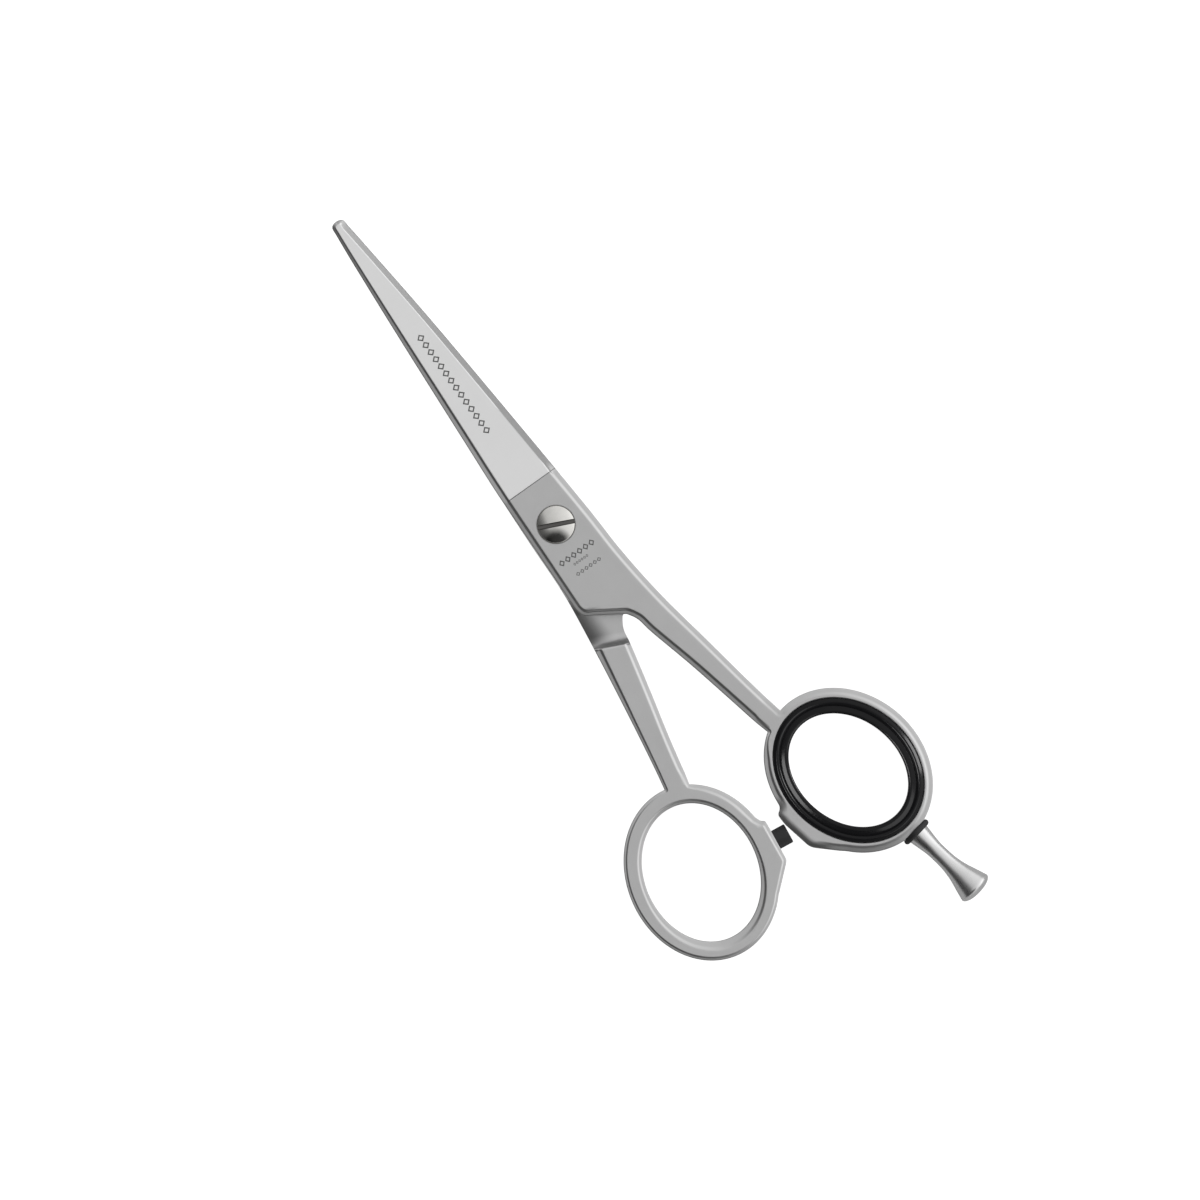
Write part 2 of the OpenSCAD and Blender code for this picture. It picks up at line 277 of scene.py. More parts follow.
def nearest(points, loop, values):
    """Distance from each point to a closed loop of segments, and the loop's values there,
    taken at the foot of the shortest perpendicular."""
    a, b = loop, np.roll(loop, -1, axis=0)
    side = b - a
    length2 = np.maximum((side ** 2).sum(1), 1e-12)
    ap = points[:, None, :] - a[None]
    t = np.clip((ap * side).sum(2) / length2, 0, 1)
    d2 = ((ap - t[..., None] * side) ** 2).sum(2)
    best = d2.argmin(1)
    rows = np.arange(len(points))
    tb = t[rows, best][:, None]
    near = values[best] * (1 - tb) + np.roll(values, -1, axis=0)[best] * tb
    return np.sqrt(d2[rows, best]), near


# ---------------------------------------------------------------- heights of a half


def face_height(x, y):
    """Height of the flat face: full, falling by the ring drop towards the ring, and on the blade
    a plane that tilts down to the cutting edge and tapers to the tip."""
    s = bpy.context.scene.shears_blades
    body = FULL_T - RING_DROP * np.clip((FALL_Y - y) / FALL_LENGTH, 0, 1)
    blade = (FULL_T + 0.02 - math.tan(math.radians(s.tilt)) * (x + 5.05)
             - math.tan(math.radians(s.taper)) * (y - GRIND_Y))
    ground = np.clip((y - GRIND_Y) / 0.12, 0, 1)
    return np.where(y > GRIND_Y, np.minimum(body, body + (np.minimum(blade, body) - body) * ground), body)


def bevel_profile(u, hollow):
    """Share of a bevel's drop at u widths from the edge: 1 - u on a flat bevel (hollow 0), and
    (1 - u)^2 on a rounded one (hollow -1). A hollow one (hollow 1) falls steeply at its inner
    line and gently outside it."""
    flat = np.clip(1 - u, 0, 1)
    ground = np.interp(u, [0, 0.60, 0.68, 0.93, 1.0, 1.08], [1, 0.73, 0.66, 0.12, 0.03, 0])
    return flat + (ground - flat) * np.clip(hollow, 0, 1) + (flat ** 2 - flat) * np.clip(-hollow, 0, 1)


def back_height(points):
    """Height of the back: the parting plane ahead of the step, a cove of radius r at the step,
    z = parting - r + sqrt(r^2 - (r - t)^2) at t ahead of it, and the flat back behind it, whose
    corner is eased by 0.25 (1 + t / 0.3)^2. Ahead of the step the outer side is relieved by
    0.07 (x - 2.8)^2. Also returns t."""
    normal = np.array([-math.sin(STEP_ANGLE), math.cos(STEP_ANGLE)])
    t = (points - STEP_AT) @ normal
    cove = INNER_Z - STEP_R + np.sqrt(np.maximum(STEP_R ** 2 - (STEP_R - np.clip(t, 0, STEP_R)) ** 2, 0))
    back = RING_DROP * np.clip((FALL_Y - points[:, 1]) / FALL_LENGTH, 0, 1)
    lip = 0.25 * np.clip(1 + t / 0.3, 0, 1) ** 2
    relief = 0.07 * np.clip(points[:, 0] - 2.8, 0, None) ** 2 * np.clip((-11.5 - points[:, 1]) / 3, 0, 1)
    return np.where(t > 0, cove + relief, back + lip), t


class HalfShape:
    """One half's outline as a closed loop with bevel values, its hole, and its two surfaces."""

    def __init__(self, spec):
        self.spec = spec
        self.blades = bpy.context.scene.shears_blades
        right = [smooth_curve(p) for p in spec["right"]]
        left = [smooth_curve(p) for p in spec["left"]]
        a = np.radians(np.linspace(90, 0, 25))[:-1]
        mid, half = (right[0][0] + left[0][0]) / 2, (right[0][0] - left[0][0]) / 2
        rise = REACH - mid[1]
        cap = lambda side: np.stack([mid[0] + side * half[0] * np.cos(a),
                                     mid[1] + rise * np.sqrt(np.sin(a))], 1)
        right = np.vstack([cap(1)] + right)
        left = np.vstack([cap(-1)] + left)
        end_right, i = where_entered(spec["ring"], right)
        self.right = np.vstack([right[:i], end_right])
        end_left, i = where_entered(spec["ring"], left)
        self.left = np.vstack([left[:i], end_left])
        self.ring = self.ring_outline(end_right, end_left)
        self.loop = np.vstack([self.right, self.ring[1:-1], self.left[::-1][:-1]])
        self.values = np.vstack([self.edge_values(self.right, RIGHT_BEVEL + spec["right_end"]),
                                 self.ring_values()[1:-1],
                                 self.edge_values(self.left, LEFT_BEVEL)[::-1][:-1]])
        around = np.linspace(-np.pi, np.pi, 200, endpoint=False)
        self.hole = oval(spec["hole"], around)
        t = np.array(HOLE_BEVEL[spec["turned"]], float)
        self.hole_values = np.stack([np.interp(np.degrees(around), t[:, 0], t[:, i]) for i in (1, 2, 3)], 1)

    def ring_outline(self, start, end):
        """The ring's outside from the shank's right side clockwise to its left side: the oval as
        far as the pad, the pad with rounded corners, and the oval again."""
        ring = self.spec["ring"]
        pad = rounded(self.spec["pad"], 0.55)
        inside = oval_angle(ring, pad)[1] < 1
        outside = np.flatnonzero(~inside)
        low, high = pad[outside[0]], pad[outside[-1]]
        pad = pad[outside[0]:outside[-1] + 1]
        angle = lambda p: float(oval_angle(ring, p)[0])
        a0, a1 = angle(start), angle(low)
        a1 -= 2 * np.pi * (a1 > a0)
        a2, a3 = angle(high), angle(end)
        a2 -= 2 * np.pi * (a2 > a1)
        a3 -= 2 * np.pi * (a3 > a2)
        first = oval(ring, np.linspace(a0, a1, 90))
        last = oval(ring, np.linspace(a2, a3, 26))
        return divided(np.vstack([first[:-1], pad, last[1:]]), 0.5)

    def edge_values(self, path, table):
        """Width, drop and hollow of the bevel along a side, read from a table by Y. A drop of -1
        stands for the cutting edge, which falls to just above the parting plane."""
        t = np.array(table, float)[::-1]
        w = np.interp(path[:, 1], t[:, 0], t[:, 1]) * self.blades.edge_scale
        h = np.interp(path[:, 1], t[:, 0], np.where(t[:, 2] < 0, 0, t[:, 2])) * self.blades.drop_scale
        k = np.interp(path[:, 1], t[:, 0], t[:, 3])
        cutting = np.interp(path[:, 1], t[:, 0], (t[:, 2] < 0).astype(float))
        edge = face_height(path[:, 0], path[:, 1]) - (INNER_Z + 0.22)
        return np.stack([w, h * (1 - cutting) + cutting * edge, k], 1)

    def ring_values(self):
        """Width, drop and hollow of the bevel round the ring, read from its table by angle."""
        table = THUMB_RING_BEVEL if self.spec["turned"] else FINGER_RING_BEVEL
        t = np.array(table, float)
        a = np.degrees(np.unwrap(oval_angle(self.spec["ring"], self.ring)[0]))
        a += 360 * np.round((100 - a[0]) / 360)
        v = [np.interp(a, t[:, 0], t[:, i]) for i in (1, 2, 3)]
        return np.stack([v[0] * self.blades.edge_scale, v[1] * self.blades.drop_scale, v[2]], 1)

    def drops(self, points):
        """How far the bevels lower the face at each point: the larger of the outside bevel's and
        the hole bevel's drop, each drop times profile(distance / width). Also a fine edge break,
        and the distance from the outline in bevel widths."""
        d, v = nearest(points, self.loop, self.values)
        outside = v[:, 1] * bevel_profile(d / v[:, 0], v[:, 2])
        dh, vh = nearest(points, self.hole, self.hole_values)
        inside = vh[:, 1] * bevel_profile(dh / vh[:, 0], vh[:, 2])
        edge = 0.05 * np.clip(1 - np.minimum(d, dh) / 0.07, 0, 1) ** 2
        return np.maximum(outside, inside), edge, d / v[:, 0]

    def surfaces(self, plan):
        """Front and back heights of a grid of plan points, as two grids of 3-D points."""
        flat = plan.reshape(-1, 2)
        drop, edge, _ = self.drops(flat)
        top = face_height(flat[:, 0], flat[:, 1]) - drop - edge
        back, t = back_height(flat)
        behind = np.clip(-t / 0.25, 0, 1)
        ring = np.clip(drop, 0, 0.75)
        bottom = back + (ring + edge) * behind
        shape = plan.shape[:-1] + (3,)
        up = np.column_stack([flat, top]).reshape(shape)
        down = np.column_stack([flat, np.minimum(bottom, top - 0.1)]).reshape(shape)
        return up, down

    def crossing(self, path, at, direction):
        """Where each straight row (a point and a direction) crosses a path, and how much the
        row slants to the path's normal there."""
        normal = np.stack([-direction[:, 1], direction[:, 0]], 1)
        side = ((path[None] - at[:, None]) * normal[:, None]).sum(2)
        i = np.argmax(side <= 0, axis=1)
        i = np.clip(np.where(side[:, -1] > 0, len(path) - 1, i), 1, len(path) - 1)
        rows = np.arange(len(at))
        s0, s1 = side[rows, i - 1], side[rows, i]
        f = np.clip(s0 / np.where(s0 - s1 == 0, 1, s0 - s1), 0, 1)[:, None]
        point = path[i - 1] * (1 - f) + path[i] * f
        along = path[i] - path[i - 1]
        along = along / np.maximum(np.linalg.norm(along, axis=1), 1e-9)[:, None]
        slant = np.abs(along[:, 0] * direction[:, 1] - along[:, 1] * direction[:, 0])
        return point, slant

    def ribbon(self):
        """Plan grid of the blade and shank: straight rows from the left outline to the right one,
        which turn to follow the step and end on the ring, with columns spaced by bevel width."""
        tip = [62.39, 62.33, 62.22, 62.05, 61.8, 61.5, 61.2, 60.8, 60.2, 59.4, 58.4]
        grind = [9.4, 8.7, 8.2, 7.95, 7.83, 7.76, 7.705, 7.695, 7.6, 7.45, 7.2, 6.9, 6.6, 6.2, 5.6]
        ahead = np.array([2.4, 2.05, 1.8, 1.5, 1.2, 0.9, 0.65, 0.42, 0.22, 0.08, 0.005, -0.005,
                          -0.05, -0.1, -0.18, -0.3, -0.5])
        shank = np.arange(-22.8, -45.8, -0.75)
        y = np.concatenate([tip, np.arange(57, 10, -1.25), grind, np.arange(4.8, -11, -0.8),
                            np.arange(-11.2, -19.4, -0.3),
                            STEP_AT[1] + ahead * math.cos(STEP_ANGLE), shank])
        x = np.interp(-y, -np.array(self.spec["middle"][0], float), self.spec["middle"][1])
        step_end = len(y) - len(shank)
        x[step_end - len(ahead):step_end] = STEP_AT[0] - ahead * math.sin(STEP_ANGLE)
        ramp = np.clip((-11 - y) / 8.6, 0, 1)
        angle = STEP_ANGLE * ramp ** 2 * (3 - 2 * ramp)
        lower = np.interp(-y, [22.5, 29, 39, 46], np.radians([24.6, 13, 13, 31]))
        angle = np.where(y < -22.6, lower, angle)
        at = np.stack([x, y], 1)
        direction = np.stack([np.cos(angle), np.sin(angle)], 1)
        left, slant_l = self.crossing(self.left, at, direction)
        right, slant_r = self.crossing(self.right, at, direction)
        ease = lambda v: np.convolve(np.pad(v, 2, mode="edge"), [0.1, 0.2, 0.4, 0.2, 0.1], mode="valid")
        wl = nearest(left, self.loop, self.values)[1][:, 0] / ease(np.maximum(slant_l, 0.5))
        wr = nearest(right, self.loop, self.values)[1][:, 0] / ease(np.maximum(slant_r, 0.5))
        length = np.linalg.norm(right - left, axis=1)
        room = BEVEL_STEPS[-1] * (wl + wr)
        fit = np.minimum(1, 0.86 * length / room)
        wl, wr = wl * fit, wr * fit
        inner = np.linspace(0, 1, 12)[1:-1]
        start, stop = BEVEL_STEPS[-1] * wl, length - BEVEL_STEPS[-1] * wr
        s = np.hstack([BEVEL_STEPS * wl[:, None], start[:, None] + inner * (stop - start)[:, None],
                       length[:, None] - BEVEL_STEPS[::-1] * wr[:, None]])
        plan = left[:, None] + (right - left)[:, None] * (s / length[:, None])[..., None]
        # the last row lies on the ring's oval between the two junctions
        share = s[-1] / length[-1]
        a = oval_angle(self.spec["ring"], np.stack([self.left[-1], self.right[-1]]))[0]
        last = oval(self.spec["ring"], a[0] + (a[1] - a[0]) * share)
        return np.concatenate([plan, last[None]])

    def ring_plan(self, seam):
        """Plan grid of the ring: rows from the outside to the hole, with the seam's points on the
        shank side, and columns spaced by bevel width at both ends."""
        outer = np.vstack([self.ring, seam[1:-1]])
        a = np.unwrap(oval_angle(self.spec["hole"], outer)[0])
        inner = oval(self.spec["hole"], a)
        length = np.linalg.norm(inner - outer, axis=1)
        w_out = nearest(outer, self.loop, self.values)[1][:, 0]
        w_in = nearest(inner, self.hole, self.hole_values)[1][:, 0]
        fit = np.minimum(1, 0.9 * length / (BEVEL_STEPS[-1] * (w_out + w_in)))
        w_out, w_in = w_out * fit, w_in * fit
        mid = np.linspace(0, 1, 7)[1:-1]
        start, stop = BEVEL_STEPS[-1] * w_out, length - BEVEL_STEPS[-1] * w_in
        s = np.hstack([BEVEL_STEPS * w_out[:, None], start[:, None] + mid * (stop - start)[:, None],
                       length[:, None] - BEVEL_STEPS[::-1] * w_in[:, None]])
        return outer[:, None] + (inner - outer)[:, None] * (s / length[:, None])[..., None]


# ---------------------------------------------------------------- meshes


def grid_faces(rows, cols, wrap=False):
    """Quads of a grid of points, row by row; wrap joins the last row to the first."""
    r = np.arange(rows if wrap else rows - 1)[:, None]
    c = np.arange(cols - 1)[None]
    n = (r + 1) % rows
    return np.stack([r * cols + c, r * cols + c + 1, n * cols + c + 1, n * cols + c], -1).reshape(-1, 4)


def join_grids(grids):
    """One list of points and quads out of several (points, wrap) grids."""
    verts, faces, first = [], [], 0
    for points, wrap in grids:
        rows, cols = points.shape[:2]
        verts.append(points.reshape(-1, 3))
        faces.append(grid_faces(rows, cols, wrap) + first)
        first += rows * cols
    return np.vstack(verts), np.vstack(faces)


def tidy_mesh(mesh, merge, sharp):
    """Merges doubles closer than merge metres, drops thin faces, turns the normals outwards and
    shades smooth, with sharp edges above the given angle."""
    bm = bmesh.new()
    bm.from_mesh(mesh)
    bmesh.ops.remove_doubles(bm, verts=bm.verts, dist=merge)
    bmesh.ops.dissolve_degenerate(bm, edges=bm.edges, dist=1e-7)
    bmesh.ops.recalc_face_normals(bm, faces=bm.faces)
    bm.to_mesh(mesh)
    bm.free()
    mesh.polygons.foreach_set("use_smooth", np.ones(len(mesh.polygons), bool))
    mesh.set_sharp_from_angle(angle=math.radians(sharp))


def finish_mesh(name, verts, faces, sharp=30, caps=()):
    """An object at the origin from points in millimetres, its mesh tidied."""
    mesh = bpy.data.meshes.new(name)
    polygons = np.asarray(faces).tolist() + [list(c) for c in caps]
    mesh.from_pydata((np.asarray(verts) * MM).tolist(), [], polygons)
    tidy_mesh(mesh, 3e-7, sharp)
    obj = bpy.data.objects.new(name, mesh)
    bpy.context.scene.collection.objects.link(obj)
    return obj


def lathe(profile, origin, axis, count=64):
    """Surface of revolution: ring k of radius r and height z along the axis is
    origin + z axis + r (u cos a + v sin a). A closed profile gives a closed surface."""
    axis = np.asarray(axis, float) / np.linalg.norm(axis)
    side = np.cross(axis, [0, 0, 1.0]) if abs(axis[2]) < 0.9 else np.array([1.0, 0, 0])
    u = side / np.linalg.norm(side)
    v = np.cross(axis, u)
    a = np.linspace(0, 2 * np.pi, count, endpoint=False)
    r, z = np.asarray(profile, float).T
    points = (np.asarray(origin, float) + z[None, :, None] * axis
              + r[None, :, None] * (u * np.cos(a)[:, None, None] + v * np.sin(a)[:, None, None]))
    return points


def cut(obj, cutters, sharp=30):
    """Takes the cutters out of a piece with exact booleans, and applies them."""
    for cutter in cutters:
        mod = obj.modifiers.new("cut", "BOOLEAN")
        mod.operation, mod.solver, mod.object = "DIFFERENCE", "EXACT", cutter
        graph = bpy.context.evaluated_depsgraph_get()
        mesh = bpy.data.meshes.new_from_object(obj.evaluated_get(graph))
        obj.modifiers.clear()
        obj.data = mesh
        bpy.data.objects.remove(cutter)
    tidy_mesh(obj.data, 1e-6, sharp)


def round_cutter(profile, origin, axis, count=64):
    """A turned solid for cut, from a profile of (radius, height) pairs."""
    verts, faces = join_grids([(lathe(profile, origin, axis, count), True)])
    return finish_mesh("cutter", verts, faces)


def build_half(name, spec):
    """One forged half: front and back surfaces over the same plan, joined by walls."""
    shape = HalfShape(spec)
    ribbon = shape.ribbon()
    ring = shape.ring_plan(ribbon[-1])
    up, down = shape.surfaces(ribbon)
    ring_up, ring_down = shape.surfaces(ring)
    grids = [(up, False), (down, False), (ring_up, True), (ring_down, True)]
    wall = lambda a, b: np.stack([a, a * 0.5 + b * 0.5, b], 1)
    grids.append((wall(up[:, 0], down[:, 0]), False))
    grids.append((wall(up[:, -1], down[:, -1]), False))
    grids.append((wall(up[0], down[0]), False))
    outer = len(shape.ring)
    grids.append((wall(ring_up[:outer, 0], ring_down[:outer, 0]), False))
    inner_up, inner_down = ring_up[:, -1], ring_down[:, -1]
    if spec["turned"]:
        grids.append((wall(inner_up, inner_down), True))
    else:
        angles = oval_angle(spec["hole"], inner_up[:, :2])[0]
        seat = oval((HOLE_AT, (9.55, 12.05), HOLE_LEAN), angles)
        at = lambda xy, z: np.column_stack([xy, np.full(len(xy), z)])
        grids.append((np.stack([inner_up, at(inner_up[:, :2], 4.0), at(seat, 4.0), at(seat, 1.0),
                                at(inner_up[:, :2], 1.0), inner_down], 1), True))
    verts, faces = join_grids(grids)
    if spec["turned"]:
        verts = verts * (-1, 1, -1) + (0, 0, FULL_T)
    obj = finish_mesh(name, verts, faces, HALF_SHARP)
    return obj, shape


# Slots of a half's materials, in the order in which they are added. The last one is painted shade: a
# near-black strip along the grind line.
SATIN, FACE, INNER, EDGE, GRIND_SHADE = range(5)


def region_slots(obj, shape, turned):
    """Gives the ground blade face, its bevels and the rest of the steel their own slots, and gives a narrow
    strip along the grind line a near-black slot that paints the shade of the step there.
    """
    mesh = obj.data
    n = len(mesh.polygons)
    centre, normal = np.empty(n * 3, np.float32), np.empty(n * 3, np.float32)
    mesh.polygons.foreach_get("center", centre)
    mesh.polygons.foreach_get("normal", normal)
    centre, normal = centre.reshape(-1, 3) / MM, normal.reshape(-1, 3)
    if turned:
        centre, normal = centre * (-1, 1, -1) + (0, 0, FULL_T), normal * (-1, 1, -1)
    _, _, u = shape.drops(centre[:, :2].astype(float))
    x, y, z = centre.T
    blade = (y > GRIND_Y) & (normal[:, 2] > 0)
    middle = np.interp(y, [8, 60], [0.1, -0.55 if not turned else 0.9])
    slot = np.full(n, SATIN, np.int32)
    slot[blade & (u > 0.93)] = FACE
    slot[blade & (u <= 0.93) & (x > middle)] = EDGE
    slot[(normal[:, 2] < -0.98) & (z > INNER_Z - 0.05) & (y > -9)] = INNER
    # Painted shade: a near-black strip where the ground blade face meets the ricasso, standing in for the
    # shade of the step there.
    slot[(y > GRIND_Y - 0.02) & (y < GRIND_Y + 0.14) & (u > 1.0) & (normal[:, 2] > 0)] = GRIND_SHADE
    mesh.polygons.foreach_set("material_index", slot)


# ---------------------------------------------------------------- finishes

ETCHED = (0.14, 0.14, 0.14)
# Chains of lozenges: (from, to) along the chain, (middle, half height) across it, and the pitch
RICASSO_CHAINS = (((-3.55, 3.65), (-5.85, 0.66), 1.2), ((-1.55, 1.45), (-7.2, 0.3), 0.5),
                  ((-2.2, 2.9), (-8.85, 0.4), 0.85))
BLADE_CHAIN = ((18.8, 39.2), (-0.3, 0.78), 1.45)


class Nodes:
    """Small helper that adds shader nodes and links them."""

    def __init__(self, name):
        self.mat = bpy.data.materials.new(name)
        self.mat.use_nodes = True
        self.tree = self.mat.node_tree
        self.tree.nodes.clear()
        out = self.tree.nodes.new("ShaderNodeOutputMaterial")
        self.bsdf = self.tree.nodes.new("ShaderNodeBsdfPrincipled")
        self.tree.links.new(self.bsdf.outputs[0], out.inputs[0])
        self.coords = self.tree.nodes.new("ShaderNodeTexCoord").outputs["Object"]

    def link(self, a, b):
        """Joins an output to an input."""
        self.tree.links.new(a, b)

    def put(self, socket, value):
        """Links a node's output to the socket, or sets the socket to a plain value."""
        if isinstance(value, bpy.types.NodeSocket):
            self.link(value, socket)
        else:
            socket.default_value = value

    def math(self, operation, *values):
        """Result of a Math node."""
        node = self.tree.nodes.new("ShaderNodeMath")
        node.operation = operation
        for i, v in enumerate(values):
            self.put(node.inputs[i], v)
        return node.outputs[0]

    def noise(self, scale, detail=2.0, stretch=(1, 1, 1), turn=0.0):
        """Noise on the object's own coordinates; a small stretch value draws it out that way."""
        m = self.tree.nodes.new("ShaderNodeMapping")
        m.inputs["Scale"].default_value = stretch
        m.inputs["Rotation"].default_value = (0, 0, turn)
        self.link(self.coords, m.inputs[0])
        t = self.tree.nodes.new("ShaderNodeTexNoise")
        t.inputs["Scale"].default_value = scale
        t.inputs["Detail"].default_value = detail
        self.link(m.outputs[0], t.inputs["Vector"])
        return t.outputs["Fac"]

    def ramp(self, value, low, high, out_low, out_high):
        """The value carried from low..high to out_low..out_high."""
        r = self.tree.nodes.new("ShaderNodeMapRange")
        for i, v in enumerate((value, low, high, out_low, out_high)):
            self.put(r.inputs[i], v)
        return r.outputs[0]

    def mix(self, share, a, b):
        """Colour a where the share is 0 and colour b where it is 1."""
        m = self.tree.nodes.new("ShaderNodeMix")
        m.data_type = "RGBA"
        self.put(m.inputs[0], share)
        self.put(m.inputs[6], a)
        self.put(m.inputs[7], b)
        return m.outputs[2]

    def lozenges(self, axis, span, row, pitch):
        """Mask of a chain of hollow lozenges on the upper face: 1 where |frac(a / pitch) - 1/2| * 2
        + |b - middle| / half lies between 0.5 and 0.9, a running along the span and b across it."""
        split = self.tree.nodes.new("ShaderNodeSeparateXYZ")
        self.link(self.coords, split.inputs[0])
        x, y, z = (self.math("DIVIDE", split.outputs[i], MM) for i in range(3))
        a, b = (x, y) if axis == "X" else (y, x)
        middle, half = row
        phase = self.math("FRACT", self.math("DIVIDE", self.math("SUBTRACT", a, span[0]), pitch))
        peak = self.math("MULTIPLY", self.math("ABSOLUTE", self.math("SUBTRACT", phase, 0.5)), 2.0)
        off = self.math("DIVIDE", self.math("ABSOLUTE", self.math("SUBTRACT", b, middle)), half)
        size = self.math("ADD", peak, off)
        ring = self.math("COMPARE", size, 0.7, 0.2)
        length = (span[1] - span[0]) / 2
        inside = self.math("COMPARE", a, span[0] + length, length)
        upper = self.math("GREATER_THAN", z, INNER_Z + 1)
        return self.math("MULTIPLY", self.math("MULTIPLY", ring, inside), upper)

    def bump(self, height, strength, distance):
        """Fine relief, its distance in metres."""
        b = self.tree.nodes.new("ShaderNodeBump")
        b.inputs["Strength"].default_value = strength
        b.inputs["Distance"].default_value = distance
        self.link(height, b.inputs["Height"])
        self.link(b.outputs[0], self.bsdf.inputs["Normal"])

    def shade(self, **sockets):
        """Sets or links the shader's own sockets by their plain names."""
        names = {"colour": "Base Color", "metallic": "Metallic", "roughness": "Roughness",
                 "specular": "Specular IOR Level"}
        for key, value in sockets.items():
            self.put(self.bsdf.inputs[names[key]], value)


def rgb(colour, factor=1.0):
    """An opaque colour, each channel times the factor and at most 1."""
    return tuple(min(c * factor, 1) for c in colour) + (1.0,)


def satin_steel():
    """Bead blasted steel: fine grain, faint clouding, and chains of lozenges by the pivot."""
    s = bpy.context.scene.shears_finish
    n = Nodes("blasted_steel")
    grain = n.noise(5200, 2)
    base = n.mix(n.noise(260, 3), rgb(s.satin, 0.96), rgb(s.satin, 1.04))
    for chain in RICASSO_CHAINS:
        base = n.mix(n.lozenges("X", *chain), base, rgb(ETCHED))
    n.shade(colour=base, metallic=1.0,
            roughness=n.ramp(grain, 0.3, 0.7, s.satin_roughness - 0.03, s.satin_roughness + 0.04))
    n.bump(grain, 0.18, 0.00002)
    return n.mat


def ground_steel(name, colour, roughness, turn, etched=False):
    """Ground steel: fine lines across the blade, and on the front blade face an etched chain."""
    n = Nodes(name)
    lines = n.noise(3000, 2, (0.06, 1, 1), turn)
    base = n.mix(n.noise(120, 2), rgb(colour, 0.97), rgb(colour, 1.02))
    if etched:
        base = n.mix(n.lozenges("Y", *BLADE_CHAIN), base, rgb(ETCHED))
    n.shade(colour=base, metallic=1.0, roughness=n.ramp(lines, 0.3, 0.7, roughness - 0.02, roughness + 0.03))
    n.bump(lines, 0.03, 0.00001)
    return n.mat


def nickel_finish():
    """Bright nickel of the screw: cloudy shine, fine scuffs."""
    s = bpy.context.scene.shears_finish
    n = Nodes("bright_nickel")
    swirl = n.noise(900, 3)
    fine = n.noise(3500, 2, (1, 0.2, 1))
    n.shade(colour=n.mix(swirl, rgb(s.nickel, 0.9), rgb(s.nickel, 1.05)), metallic=1.0,
            roughness=n.ramp(swirl, 0.3, 0.7, 0.1, 0.2))
    n.bump(fine, 0.08, 0.00001)
    return n.mat


def turned_finish():
    """Turned steel: fine lines drawn out in Y, which is nearly the finger rest's axis."""
    n = Nodes("lathe_turned_steel")
    lines = n.noise(4200, 2, (1, 0.08, 1))
    n.shade(colour=n.mix(lines, rgb((0.76, 0.76, 0.76)), rgb((0.84, 0.84, 0.84))), metallic=1.0,
            roughness=n.ramp(lines, 0.3, 0.7, 0.26, 0.34))
    n.bump(lines, 0.1, 0.00001)
    return n.mat


def rubber_finish():
    """Glossy black rubber of the finger insert, with a faint grain."""
    s = bpy.context.scene.shears_finish
    n = Nodes("glossy_rubber")
    grain = n.noise(3800, 3)
    n.shade(colour=n.mix(n.noise(300, 2), rgb(s.rubber, 0.85), rgb(s.rubber, 1.25)), metallic=0.0,
            roughness=n.ramp(grain, 0.3, 0.7, 0.14, 0.2), specular=0.15)
    n.bump(grain, 0.04, 0.00002)
    return n.mat


def matte_rubber_finish():
    """Matte black rubber of the small pieces, with a faint grain."""
    n = Nodes("matte_rubber")
    grain = n.noise(3800, 3)
    n.shade(colour=n.mix(n.noise(500, 2), (0.018, 0.018, 0.019, 1), (0.03, 0.03, 0.032, 1)), metallic=0.0,
            roughness=n.ramp(grain, 0.3, 0.7, 0.5, 0.62))
    n.bump(grain, 0.15, 0.00002)
    return n.mat


def nylon_finish():
    """Pale nylon of the pivot bush, slightly cloudy."""
    s = bpy.context.scene.shears_finish
    n = Nodes("bush_nylon")
    n.shade(colour=n.mix(n.noise(800, 2), rgb(s.nylon, 0.94), rgb(s.nylon, 1.0)), metallic=0.0,
            roughness=n.ramp(n.noise(2500), 0.3, 0.7, 0.4, 0.5))
    return n.mat


def material(name, make, *args):
    """The material of that name, made once by its own function."""
    return bpy.data.materials.get(name) or make(*args)


# ---------------------------------------------------------------- operators


class SHEARS_OT_halves(bpy.types.Operator):
    """Builds the finger half and the thumb half with their ground edges"""

    bl_idname = "shears.halves"
    bl_label = "Both halves"

    def execute(self, context):
        s = context.scene.shears_finish
        satin = material("blasted_steel", satin_steel)
        face = material("ground_face", ground_steel, "ground_face", tuple(s.ground), 0.3, 0.0, True)
        inner = material("ground_inner", ground_steel, "ground_inner", (0.7, 0.7, 0.7), 0.22, 0.0)
        edge = material("ground_edge", ground_steel, "ground_edge", (0.60, 0.60, 0.60), 0.42, 0.3)
        # Near-black steel for the painted shade strip along the grind line
        line = material("ground_line", ground_steel, "ground_line", (0.13, 0.13, 0.13), 0.5, 0.0)
        for name, node, spec, body in (("finger_half", "front_half", FINGER, "finger_side"),
                                       ("thumb_half", "rear_half", THUMB, "thumb_side")):
            obj, shape = build_half(name, spec)
            if spec["turned"]:
                along = [math.cos(BUMPER_ANGLE), math.sin(BUMPER_ANGLE), 0]
                cutters = [round_cutter([(0, -1), (1.53, -1), (1.53, 4), (0, 4)], (0, 0, 0), (0, 0, 1)),
                           round_cutter([(0, -2), (0.8, -2), (0.8, 1), (0, 1)], BUMPER_AT, along, 32)]
            else:
                bore = [(0, 1), (2.55, 1), (2.55, 4.2), (3.3, 4.2), (3.3, 6), (0, 6)]
                spot = [(0, -2.6), (1.28, -2.6), (1.28, 0), (2.9, 0), (2.9, 3), (0, 3)]
                cutters = [round_cutter(bore, (0, 0, 0), (0, 0, 1), 96),
                           round_cutter(spot, REST_AT, REST_DIR)]
            cut(obj, cutters, HALF_SHARP)
            region_slots(obj, shape, spec["turned"])
            for m in (satin, face, inner, edge, line):
                obj.data.materials.append(m)
            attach(obj, body)
            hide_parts(node)
        return {"FINISHED"}


